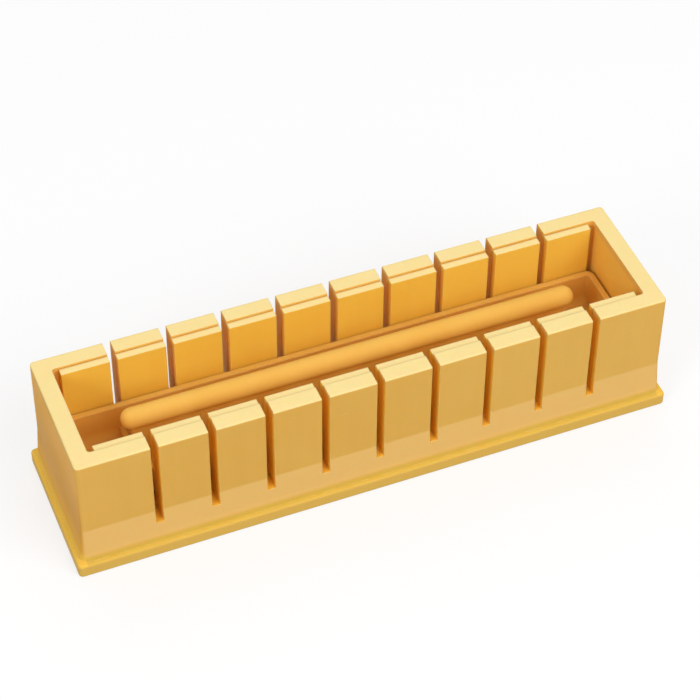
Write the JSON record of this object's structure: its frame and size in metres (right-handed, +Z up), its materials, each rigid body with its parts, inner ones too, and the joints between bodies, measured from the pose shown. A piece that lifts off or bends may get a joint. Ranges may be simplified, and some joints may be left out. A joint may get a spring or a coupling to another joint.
{
  "type": "sushi rice mold press",
  "caption": "Long slotted box mold on a foot flange, with a slotted lift-out tray and a ribbed press bar, for pressing a sushi roll and cutting it through the slots.",
  "frame": {"origin": "centre of the footprint, on the surface that the foot stands on", "axes": "+X along the roll, +Y across it, +Z up; the camera of the picture looks from -X, -Y and above"},
  "size_m": [0.2322, 0.061, 0.0534],
  "materials": {
    "frame_plastic": "satin golden yellow, slightly translucent",
    "tray_plastic": "satin golden yellow, slightly translucent",
    "press_plastic": "satin golden yellow, slightly translucent"
  },
  "bodies": {
    "frame": {"mold_frame": "frame_plastic"},
    "tray": {"lift_tray": "tray_plastic"},
    "press": {"press": "press_plastic"}
  },
  "joints": [
    {"name": "tray_lift", "type": "slide", "parent": "frame", "child": "tray", "axis": [0, 0, 1], "range_m": [0, 0.06]},
    {"name": "press_lift", "type": "slide", "parent": "tray", "child": "press", "axis": [0, 0, 1], "range_m": [0, 0.06]}
  ]
}
